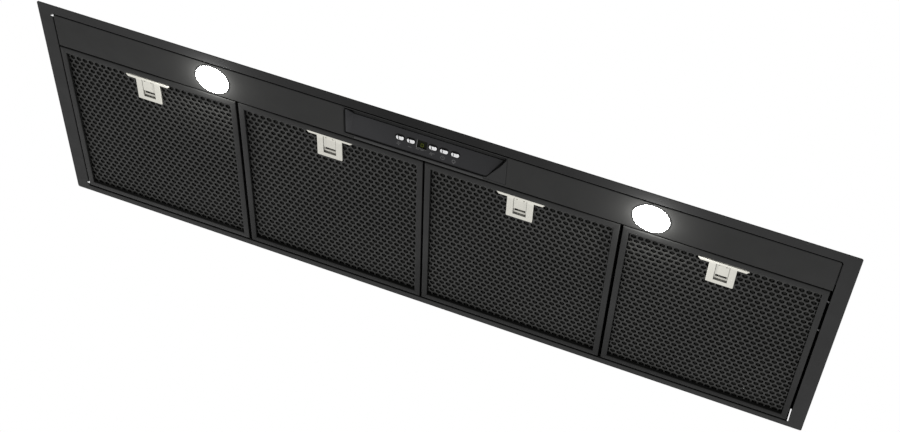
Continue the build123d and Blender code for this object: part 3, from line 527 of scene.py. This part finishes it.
# ------------------------------------------------------------------ filter frame: four mitred channel bars
def filter_frame():
    # section: d is the distance in from the outer edge, z up; one list per side with its own width
    def section(w):
        r = 0.9
        pts = [(0.0, FZ1)]
        for k in range(7):
            a = math.pi / 2 * k / 6
            pts.append((r - r * math.cos(a), FZ0 + r - r * math.sin(a)))
        r2 = 0.7
        for k in range(7):
            a = math.pi / 2 * k / 6
            pts.append((w - r2 + r2 * math.sin(a), FZ0 + r2 - r2 * math.cos(a)))
        pts.append((w, MESH_Z + 0.02))
        pts.append((w - 0.8, MESH_Z + 0.02))
        pts.append((w - 0.8, FZ0 + 0.8))
        pts.append((0.8, FZ0 + 0.8))
        pts.append((0.8, FZ1 - 0.8))
        pts.append((w, FZ1 - 0.8))
        pts.append((w, FZ1))
        return pts

    verts, faces = [], []
    gap = 0.07
    sides = [
        # name, outer line start, direction, inward, length, width
        ("front", (-FW, FF), (1, 0), (0, 1), 2 * FW, BAR_F, BAR_S, BAR_S),
        ("right", (FW, FF), (0, 1), (-1, 0), FR - FF, BAR_S, BAR_F, BAR_R),
        ("rear", (FW, FR), (-1, 0), (0, -1), 2 * FW, BAR_R, BAR_S, BAR_S),
        ("left", (-FW, FR), (0, -1), (1, 0), FR - FF, BAR_S, BAR_R, BAR_F),
    ]
    for name, o, d, n, L, w, wa, wb in sides:
        sec = section(w)
        base = len(verts)
        m = len(sec)
        cuts = [0.0, 1.0]
        if name == "front":
            cuts = [0.0, 1.0]
        for t in cuts:
            for dd, z in sec:
                # mitre from the outer corner to the inner corner, whatever the two widths
                s = (dd / w * wa + gap) if t == 0.0 else (L - dd / w * wb - gap)
                x = o[0] + d[0] * s + n[0] * dd
                y = o[1] + d[1] * s + n[1] * dd
                verts.append((x, y, z))
        for k in range(m):
            a, b = base + k, base + (k + 1) % m
            faces.append((a, b, b + m, a + m))
        faces.append(tuple(base + k for k in reversed(range(m))))
        faces.append(tuple(base + m + k for k in range(m)))
    # the rear tabs, with a small lead-in
    for u in (-62, 62):
        b = len(verts)
        for (y, za, zb, s) in ((FR - 0.5, 4.4, 5.8, 8.0), (FR + 1.4, 4.4, 5.8, 8.0), (FR + 2.0, 4.6, 5.6, 7.4)):
            verts += [(u - s, y, za), (u + s, y, za), (u + s, y, zb), (u - s, y, zb)]
        for r in (0, 4):
            for k in range(4):
                faces.append((b + r + k, b + r + (k + 1) % 4, b + r + 4 + (k + 1) % 4, b + r + 4 + k))
        faces.append((b, b + 3, b + 2, b + 1))
        faces.append((b + 8, b + 9, b + 10, b + 11))
    return verts, faces


v, f = filter_frame()
frame_src = clean(obj_from("filter_1_frame_bars", v, f, "filter", loc=(FILTERS[0], 0, 0)), 0.000001, 40)


# ------------------------------------------------------------------ latch
def extrude_outline(pts, z0, z1, r, steps=3):
    """A plan outline drawn up, its lower edge rounded by insetting. Returns verts, faces."""
    n = len(pts)
    verts, faces = [], []

    def inset(d):
        out = []
        for i in range(n):
            p0, p1, p2 = Vector(pts[i - 1]), Vector(pts[i]), Vector(pts[(i + 1) % n])
            e1, e2 = (p1 - p0).normalized(), (p2 - p1).normalized()
            n1, n2 = Vector((-e1.y, e1.x)), Vector((-e2.y, e2.x))
            m = (n1 + n2)
            m = m / max(1e-6, m.dot(n1))
            q = p1 + m * d
            out.append((q.x, q.y))
        return out

    rings = []
    for k in range(steps + 1):
        a = math.pi / 2 * k / steps
        rings.append((inset(r * (1 - math.sin(a))), z0 + r * (1 - math.cos(a))))
    rings.append((pts, z1))
    for ps, z in rings:
        verts += [(x, y, z) for x, y in ps]
    for k in range(len(rings) - 1):
        for i in range(n):
            a, b = k * n + i, k * n + (i + 1) % n
            faces.append((a, b, b + n, a + n))
    faces.append(tuple(reversed(range(n))))
    top = (len(rings) - 1) * n
    faces.append(tuple(range(top, top + n)))
    return verts, faces


# ------------------------------------------------------------------ buttons: domed oval chrome caps
def oval(length, height, corner, seg=8):
    hx, hy = length / 2 - corner, height / 2 - corner
    pts = []
    for cx, cy, a0 in ((hx, hy, 0), (-hx, hy, 90), (-hx, -hy, 180), (hx, -hy, 270)):
        for k in range(seg + 1):
            a = math.radians(a0 + 90 * k / seg)
            pts.append((cx + corner * math.cos(a), cy + corner * math.sin(a)))
    return pts


def dome_button(k, u0, v0):
    """Cap with rolled shoulder and a low crown, on the tilted face."""
    L, H, C = 8.5, 4.3, 2.1
    v0 -= 0.55
    base = oval(L, H, C)
    prof = [(1.0, -2.3), (1.0, -0.05)]
    for s in (0.995, 0.98, 0.955, 0.92, 0.875, 0.81, 0.72, 0.60, 0.45, 0.28, 0.10):
        prof.append((s, -0.05 + 0.60 * (1 - s ** 2.2) ** (1 / 2.2)))
    verts, faces = [], []
    n = len(base)
    for s, w in prof:
        for x, y in base:
            # shrink by distance from the rim, so the shoulder has an even width
            rx = (L / 2 - (1 - s) * H / 2) / (L / 2) if s > 0.5 else s + 0.12
            sx = max(s, rx) if s > 0.5 else s
            # the crown also falls off gently along the cap
            crown = 0.42 * (1 - (x * sx / (L / 2)) ** 2) if w > 0.0 else 0.0
            verts.append(tuple(on_face(u0 + x * sx, v0 + y * s, w + crown)))
    for r in range(len(prof) - 1):
        for i in range(n):
            a, b = r * n + i, r * n + (i + 1) % n
            faces.append((a, b, b + n, a + n))
    top = (len(prof) - 1) * n
    faces.append(tuple(range(top, top + n)))
    # skirt and stem behind the face plate
    b = len(verts)
    sk = oval(L + 1.5, H + 1.5, C + 0.75)
    for w in (-1.5, -2.3):
        verts += [tuple(on_face(u0 + x, v0 + y, w)) for x, y in sk]
    for i in range(n):
        a, c = b + i, b + (i + 1) % n
        faces.append((a, c, c + n, a + n))
    faces.append(tuple(range(b, b + n)))
    faces.append(tuple(reversed(range(b + n, b + 2 * n))))
    b = len(verts)
    m = 16
    for w in (-2.3, -4.5):
        verts += [tuple(on_face(u0 + 1.8 * math.cos(2 * math.pi * i / m), v0 + 1.8 * math.sin(2 * math.pi * i / m), w)) for i in range(m)]
    for i in range(m):
        a, c = b + i, b + (i + 1) % m
        faces.append((a, c, c + m, a + m))
    faces.append(tuple(reversed(range(b + m, b + 2 * m))))
    o = clean(obj_from(f"button_{k}_cap", verts, faces, "chrome"), 0.000002, 40)
    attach(o, f"button_{k}")
    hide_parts(f"button_{k}")
    return o


for k, u in enumerate(BUTTON_U, 1):
    dome_button(k, u, BUTTON_V)


def button_gap_shade(k, u0, v0):
    """Painted shade: a narrow dished near-black ring, from the edge of the opening outwards, standing in for the shade
    in the gap round the button.
    """
    verts, faces = [], []
    # length, height, shift along v, height over the face
    rings = ((8.7, 4.5, -0.55, -0.6), (8.8, 4.6, -0.55, -0.12), (9.2, 5.2, -0.4, 0.02), (10.3, 6.9, 0.0, 0.05), (10.7, 7.3, 0.0, 0.0))
    n = 0
    for length, height, dv0, w in rings:
        ring = oval(length, height, height / 2 - 0.05)
        n = len(ring)
        verts += [tuple(on_face(u0 + x, v0 + dv0 + y, w)) for x, y in ring]
    for r in range(len(rings) - 1):
        for i in range(n):
            a, b = r * n + i, r * n + (i + 1) % n
            faces.append((a, b, b + n, a + n))
    o = clean(obj_from(f"button_{k}_surround", verts, faces, "gap_shade_ring"), 0.0000005, 30)
    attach(o, "housing")


for k, u in enumerate(BUTTON_U, 1):
    button_gap_shade(k, u, BUTTON_V)


# ------------------------------------------------------------------ prints on the control face
def plate(name, polys, w0, w1, mat, shift=(0.0, 0.0)):
    """Thin raised prints: each polygon (u, v) is drawn out from w0 to w1 with a tiny chamfer."""
    verts, faces = [], []
    for pts in polys:
        n = len(pts)
        b = len(verts)
        cx = sum(p[0] for p in pts) / n
        cy = sum(p[1] for p in pts) / n
        for w, s in ((w0, 1.0), (w1 - 0.01, 1.0), (w1, 0.97)):
            verts += [tuple(on_face(shift[0] + cx + (x - cx) * s, shift[1] + cy + (y - cy) * s, w)) for x, y in pts]
        for r in (0, 1):
            for i in range(n):
                a, c = b + r * n + i, b + r * n + (i + 1) % n
                faces.append((a, c, c + n, a + n))
        faces.append(tuple(b + 2 * n + i for i in range(n)))
    o = clean(obj_from(name, verts, faces, mat), 0.0000005)
    return o


def ring_polys(cx, cy, r0, r1, seg=24, a0=0.0, a1=360.0):
    out = []
    for i in range(seg):
        t0 = math.radians(a0 + (a1 - a0) * i / seg)
        t1 = math.radians(a0 + (a1 - a0) * (i + 1) / seg)
        out.append([(cx + r0 * math.cos(t0), cy + r0 * math.sin(t0)), (cx + r1 * math.cos(t0), cy + r1 * math.sin(t0)),
                    (cx + r1 * math.cos(t1), cy + r1 * math.sin(t1)), (cx + r0 * math.cos(t1), cy + r0 * math.sin(t1))])
    return out


def blade(cx, cy, ang, r0, r1, half):
    """A fan blade, wide at the tip."""
    pts = [(r0, -half * 0.35), (r1 * 0.75, -half * 1.1), (r1, -half * 0.35), (r1 * 0.97, half * 0.7), (r1 * 0.6, half * 0.8), (r0, half * 0.35)]
    ca, sa = math.cos(ang), math.sin(ang)
    return [(cx + x * ca - y * sa, cy + x * sa + y * ca) for x, y in pts]


def quad(x0, x1, y0, y1):
    return [(x0, y0), (x1, y0), (x1, y1), (x0, y1)]


icons = []
iu = [-29.2, -17.2, 6.3, 18.0, 29.8]
iv = [-6.7, -6.9, -7.1, -7.6, -7.7]
icons += [blade(iu[0], iv[0], math.radians(a + 20), 0.35, 2.2, 0.5) for a in (0, 90, 180, 270)]
icons += [quad(iu[1] - 1.9, iu[1] + 1.9, iv[1] - 0.28, iv[1] + 0.28)]
icons += [blade(iu[2] - 0.5, iv[2], math.radians(a + 20), 0.3, 1.9, 0.5) for a in (0, 90, 180, 270)]
icons += [quad(iu[2] + 1.7, iu[2] + 3.1, iv[2] + 0.75, iv[2] + 1.05), quad(iu[2] + 2.25, iu[2] + 2.55, iv[2] + 0.2, iv[2] + 1.6)]
icons += ring_polys(iu[3], iv[3], 1.75, 2.2)
icons += [quad(iu[3] - 0.16, iu[3] + 0.16, iv[3] - 0.1, iv[3] + 1.3), quad(iu[3] - 0.1, iu[3] + 0.95, iv[3] - 0.16, iv[3] + 0.16)]
icons += ring_polys(iu[4], iv[4], 1.3, 2.0)
icons += [quad(iu[4] - 0.6, iu[4] + 0.6, iv[4] - 2.75, iv[4] - 2.15)]
icons += [quad(-10.6, -7.4, -6.75, -6.15), quad(-5.6, -2.2, -6.6, -5.9)]
prints = plate("control_prints", icons, -0.02, 0.04, "print")
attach(prints, "housing")


# seven-segment digit behind the window, showing a nought
def segment(cx, cy, horizontal, ln, th):
    h = th / 2
    if horizontal:
        return [(cx - ln / 2, cy), (cx - ln / 2 + h, cy - h), (cx + ln / 2 - h, cy - h), (cx + ln / 2, cy), (cx + ln / 2 - h, cy + h), (cx - ln / 2 + h, cy + h)]
    return [(cx, cy - ln / 2), (cx + h, cy - ln / 2 + h), (cx + h, cy + ln / 2 - h), (cx, cy + ln / 2), (cx - h, cy + ln / 2 - h), (cx - h, cy - ln / 2 + h)]


du, dv = -5.1, -2.0
sw, sh, st = 2.6, 1.6, 0.58
lit = [segment(du, dv + sh, True, sw, st), segment(du, dv - sh, True, sw, st),
       segment(du - sw / 2, dv + sh / 2, False, sh, st), segment(du + sw / 2, dv + sh / 2, False, sh, st),
       segment(du - sw / 2, dv - sh / 2, False, sh, st), segment(du + sw / 2, dv - sh / 2, False, sh, st)]
dig = plate("display_digit", lit, -1.8, -1.74, "digit")
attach(dig, "housing")
dim = plate("display_digit_bar", [segment(du, dv, True, sw, st)], -1.8, -1.76, "segment_off")
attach(dim, "housing")

# painted highlight: a pale liner in the window's opening, because its upright walls catch more light than the face
WIN_U, WIN_V0, WIN_V1, WIN_HW = -5.0, -5.2, 4.0, 5.5


def window_rim_highlight():
    """Painted highlight: a thin pale liner on the left and rear walls of the opening, chamfered towards the user, for
    the light those walls catch.
    """
    verts, faces = [], []
    loops = ((0.0, -1.15), (0.0, 0.02), (0.12, 0.05), (0.34, -0.2), (0.30, -1.15))
    for d, w in loops:
        u0, u1, v0, v1 = WIN_U - WIN_HW + d, WIN_U + WIN_HW, WIN_V0 + d * 0.5, WIN_V1
        wr = max(w, -0.3)
        verts += [tuple(on_face(*q)) for q in ((u0, v1, w), (u0, v0, w), (u1, v0, wr))]
    n = len(loops)
    for r in range(n):
        for i in range(2):
            a, b = r * 3 + i, r * 3 + i + 1
            c, d = ((r + 1) % n) * 3 + i + 1, ((r + 1) % n) * 3 + i
            faces.append((a, b, c, d))
    faces.append(tuple(r * 3 for r in range(n)))
    faces.append(tuple(r * 3 + 2 for r in reversed(range(n))))
    o = clean(obj_from("display_window_rim", verts, faces, "rim"), 0.0000005)
    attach(o, "housing")


window_rim_highlight()


def ramp_corner():
    """The face's left ramp runs on to the front corner of the pocket in a narrowing leaf, 1 mm thick."""
    a, b, c = Vector((-85.4, -117.0, -0.88)), Vector((-80.05, -117.0, 6.78)), Vector((-85.4, -128.4, -0.7))
    n = 10
    verts, faces = [], []
    for lift in (0.0, 1.0):
        for i in range(n + 1):
            t = i / n
            # the front edge bows slightly towards the user
            edge = b.lerp(c, 1 - t) + Vector((0.0, -0.9 * 4 * t * (1 - t) * 0.5, 0.0))
            base = b.lerp(a, 1 - t)
            for s in range(4):
                p = base.lerp(edge, s / 3)
                verts.append((p.x - 0.35 * lift, p.y, p.z + lift))
    m = (n + 1) * 4
    for i in range(n):
        for s in range(3):
            q = i * 4 + s
            faces.append((q, q + 1, q + 5, q + 4))
            faces.append((m + q, m + q + 4, m + q + 5, m + q + 1))
    for s in (0, 3):
        for i in range(n):
            q = i * 4 + s
            faces.append((q, q + 4, m + q + 4, m + q))
    o = clean(obj_from("control_face_corner", verts, faces, "face"), 0.0000005, 40)
    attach(o, "housing")


ramp_corner()

# ------------------------------------------------------------------ the four filters
for k, c in enumerate(FILTERS, 1):
    if k == 1:
        sheet, layer, shade_sheet, grd, back, bars = mesh_src, mesh_src2, shade_sheet_src, guard_src, back_src, frame_src
    else:
        sheet = instance(mesh_src, f"filter_{k}_mesh_sheet", (c, 0, MESH_Z))
        layer = instance(mesh_src2, f"filter_{k}_mesh_layer", (c, 0, MESH_Z + 1.5))
        shade_sheet = instance(shade_sheet_src, f"filter_{k}_mesh_shade_sheet", (c, 0, MESH_Z + 2.3))
        grd = instance(guard_src, f"filter_{k}_guard", (c, 0, 0))
        back = instance(back_src, f"filter_{k}_back_mesh", (c, 0, FZ1 - 1.7))
        bars = instance(frame_src, f"filter_{k}_frame_bars", (c, 0, 0), "filter_b")
    for o, s in ((sheet, "mesh_paint"), (layer, "mesh_paint"), (shade_sheet, "mesh_paint"), (grd, "filter_paint"), (back, "mesh_paint"), (bars, "filter_paint")):
        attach(o, f"filter_{k}")
    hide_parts(f"filter_{k}_mesh")
    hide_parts(f"filter_{k}_frame")


# ------------------------------------------------------------------ floor, backdrop, light
def stage_plane():
    me = bpy.data.meshes.new("floor")
    s = 14.0
    me.from_pydata([(-s, -s, -2.2), (s, -s, -2.2), (s, s, -2.2), (-s, s, -2.2)], [], [(0, 1, 2, 3)])
    m, nt, b, _ = new_mat("pale_floor")
    n = noise(nt, 1.5, 2.0, 0.5)
    nt.links.new(ramp(nt, n, [(0.3, (0.80, 0.80, 0.80)), (0.7, (0.83, 0.83, 0.83))]), b.inputs["Base Color"])
    b.inputs["Roughness"].default_value = 0.8
    me.materials.append(m)
    o = bpy.data.objects.new("floor", me)
    coll.objects.link(o)


stage_plane()



def flag(name, corners):
    """A dark studio flag that only polished surfaces mirror."""
    me = bpy.data.meshes.new(name)
    me.from_pydata(corners, [], [(0, 1, 2, 3)])
    m, nt, b, _ = new_mat(name)
    nt.links.new(ramp(nt, noise(nt, 2.0, 2.0, 0.5), [(0.3, (0.010, 0.010, 0.010)), (0.7, (0.014, 0.014, 0.014))]), b.inputs["Base Color"])
    b.inputs["Roughness"].default_value = 0.9
    b.inputs["Specular IOR Level"].default_value = 0.0
    me.materials.append(m)
    o = bpy.data.objects.new(name, me)
    coll.objects.link(o)
    for at in ("visible_camera", "visible_diffuse", "visible_shadow", "visible_transmission", "visible_volume_scatter"):
        setattr(o, at, False)


flag("flag_front", [(-3.0, -3.2, -2.19), (3.0, -3.2, -2.19), (3.0, -3.2, 1.2), (-3.0, -3.2, 1.2)])
flag("flag_low", [(-3.0, -3.2, -2.15), (3.0, -3.2, -2.15), (3.0, -1.75, -2.15), (-3.0, -1.75, -2.15)])
flag("flag_strip", [(-1.08, -1.7, -2.12), (-0.76, -1.7, -2.12), (-0.76, 2.4, -2.12), (-1.08, 2.4, -2.12)])

world = bpy.data.worlds.new("studio")
world.use_nodes = True
nt = world.node_tree
nt.nodes.clear()
wout = nt.nodes.new("ShaderNodeOutputWorld")
bg = nt.nodes.new("ShaderNodeBackground")
bg.inputs["Color"].default_value = (1, 1, 1, 1)
bg.inputs["Strength"].default_value = 1.0
nt.links.new(bg.outputs[0], wout.inputs[0])
scene.world = world


def area(name, loc, target, size, energy, col=(1, 1, 1)):
    l = bpy.data.lights.new(name, "AREA")
    l.shape = "RECTANGLE"
    l.size, l.size_y = size
    l.energy = energy
    l.color = col
    o = bpy.data.objects.new(name, l)
    o.location = loc
    d = Vector(target) - Vector(loc)
    o.rotation_euler = d.to_track_quat("-Z", "Y").to_euler()
    coll.objects.link(o)
    o.visible_camera = False
    return o


area("key", (0.9, -1.5, -1.5), (0, 0, 0), (1.2, 0.8), 6.0)


def glow(name, x):
    """The light a lit lamp sheds on the metal round it."""
    l = bpy.data.lights.new(name, "POINT")
    l.energy = LAMP_W
    l.shadow_soft_size = 0.003
    l.color = (1.0, 1.0, 0.985)
    o = bpy.data.objects.new(name, l)
    o.location = Vector((x, LAMP_Y, -9.0)) * MM
    coll.objects.link(o)
    o.visible_camera = False
    o.visible_glossy = False


LAMP_W = 0.47
for s in (-1, 1):
    glow(f"lamp_glow_{'left' if s < 0 else 'right'}", s * LAMP_X)
